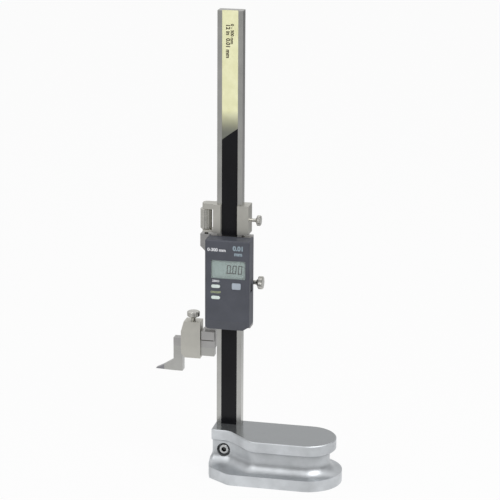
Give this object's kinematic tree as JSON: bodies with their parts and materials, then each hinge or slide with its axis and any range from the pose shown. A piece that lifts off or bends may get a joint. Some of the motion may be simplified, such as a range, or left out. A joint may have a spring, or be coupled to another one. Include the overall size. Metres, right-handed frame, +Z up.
{
  "type": "digital height gauge",
  "caption": "Digital height gauge: coved cast base, upright column with a scale strip, sliding readout head with clamped scriber and a fine-feed carriage above it.",
  "frame": {"origin": "on the lapped underside of the base, straight below the centre line of the column", "axes": "+Z up the column, +X along the base from the column to its round end, -Y to the front, where the readout faces; the scriber points along -X"},
  "size_m": [0.2019, 0.0718, 0.4825],
  "materials": {
    "cast_iron": "ground and satin",
    "column_steel": "ground",
    "strip_black": "gloss",
    "label_cream": "satin",
    "frame_steel": "ground",
    "gib_bronze": "ground",
    "screw_steel": "black oxide",
    "bright_steel": "satin chrome",
    "carriage_steel": "satin",
    "brass": "turned",
    "scriber_steel": "ground",
    "carbide": "lapped",
    "housing_grey": "fine texture",
    "window_clear": "polished",
    "display_grey": "satin",
    "board_green": "satin",
    "connector_black": "matte",
    "switch_grey": "matte",
    "button_white": "satin",
    "button_lavender": "satin",
    "plug_rubber": "matte",
    "cell_steel": "satin"
  },
  "bodies": {
    "stand": {"base": "cast_iron", "column_clamp_screw": "screw_steel", "column": "column_steel", "scale_strip": "strip_black", "scale_label": "label_cream"},
    "slider": {"slider_frame": "frame_steel", "slider_gib": "gib_bronze", "gib_screws": "screw_steel", "back_plate": "frame_steel", "plate_screws": "screw_steel", "feed_rod": "bright_steel", "housing": "housing_grey", "housing_screws": "screw_steel", "display_window": "window_clear", "display_module": "display_grey", "circuit_board": "board_green", "board_screws": "screw_steel", "switches": "switch_grey", "read_head": "board_green", "board_connector": "connector_black", "data_connector": "connector_black", "port_plug": "plug_rubber", "battery": "cell_steel", "battery_cap": "housing_grey", "battery_contact": "brass"},
    "upper_left_key": {"upper_left_button": "button_white"},
    "lower_left_key": {"lower_left_button": "button_white"},
    "right_key": {"right_button": "button_lavender"},
    "carriage": {"carriage": "carriage_steel"},
    "feed_nut": {"feed_nut": "bright_steel"},
    "slider_clamp_tip": {"slider_clamp_tip": "brass"},
    "slider_clamp_screw": {"slider_clamp_screw": "bright_steel"},
    "carriage_clamp_tip": {"carriage_clamp_tip": "brass"},
    "carriage_clamp_screw": {"carriage_clamp_screw": "bright_steel"},
    "scriber_clamp": {"scriber_clamp": "carriage_steel"},
    "scriber_clamp_tip": {"scriber_clamp_tip": "brass"},
    "scriber_clamp_screw": {"scriber_clamp_screw": "bright_steel"},
    "scriber": {"scriber": "scriber_steel", "carbide_tip": "carbide"}
  },
  "joints": [
    {"name": "slider_travel", "type": "slide", "parent": "stand", "child": "slider", "axis": [0, 0, 1], "range_m": [-0.1016, 0.1984]},
    {"name": "carriage_feed", "type": "slide", "parent": "slider", "child": "carriage", "axis": [0, 0, 1], "range_m": [-0.0005, 0.0045]},
    {"name": "feed_nut_turn", "type": "hinge", "parent": "carriage", "child": "feed_nut", "pos_m": [-0.0255, 0, 0.267], "axis": [0, 0, 1], "range_deg": [-361, 3241]},
    {"name": "scriber_clamp_slide", "type": "slide", "parent": "slider", "child": "scriber_clamp", "axis": [1, 0, 0], "range_m": [-0.008, 0.0005]},
    {"name": "scriber_slide", "type": "slide", "parent": "scriber_clamp", "child": "scriber", "axis": [1, 0, 0], "range_m": [-0.012, 0.0005]},
    {"name": "slider_clamp_advance", "type": "slide", "parent": "slider", "child": "slider_clamp_tip", "axis": [1, 0, 0], "range_m": [0, 0.0012]},
    {"name": "slider_clamp_turn", "type": "hinge", "parent": "slider_clamp_tip", "child": "slider_clamp_screw", "pos_m": [0.02, 0, 0.2022], "axis": [1, 0, 0], "range_deg": [0, 541]},
    {"name": "carriage_clamp_advance", "type": "slide", "parent": "carriage", "child": "carriage_clamp_tip", "axis": [1, 0, 0], "range_m": [0, 0.00105]},
    {"name": "carriage_clamp_turn", "type": "hinge", "parent": "carriage_clamp_tip", "child": "carriage_clamp_screw", "pos_m": [0.02, 0, 0.268], "axis": [1, 0, 0], "range_deg": [0, 541]},
    {"name": "scriber_clamp_advance", "type": "slide", "parent": "scriber_clamp", "child": "scriber_clamp_tip", "axis": [0, 0, 1], "range_m": [0, 0.0012]},
    {"name": "scriber_clamp_turn", "type": "hinge", "parent": "scriber_clamp_tip", "child": "scriber_clamp_screw", "pos_m": [-0.03915, 0, 0.15], "axis": [0, 0, 1], "range_deg": [0, 541]},
    {"name": "upper_left_key_press", "type": "slide", "parent": "slider", "child": "upper_left_key", "axis": [0, 1, 0], "range_m": [0, 0.0005], "stiffness_N_per_m": 600},
    {"name": "lower_left_key_press", "type": "slide", "parent": "slider", "child": "lower_left_key", "axis": [0, 1, 0], "range_m": [0, 0.0005], "stiffness_N_per_m": 600},
    {"name": "right_key_press", "type": "slide", "parent": "slider", "child": "right_key", "axis": [0, 1, 0], "range_m": [0, 0.0005], "stiffness_N_per_m": 600}
  ],
  "couplings": [
    {"joint": "feed_nut_turn", "follows": "carriage_feed", "rad_per_m": 12566},
    {"joint": "slider_clamp_turn", "follows": "slider_clamp_advance", "rad_per_m": 7854},
    {"joint": "carriage_clamp_turn", "follows": "carriage_clamp_advance", "rad_per_m": 8976},
    {"joint": "scriber_clamp_turn", "follows": "scriber_clamp_advance", "rad_per_m": 7854}
  ]
}
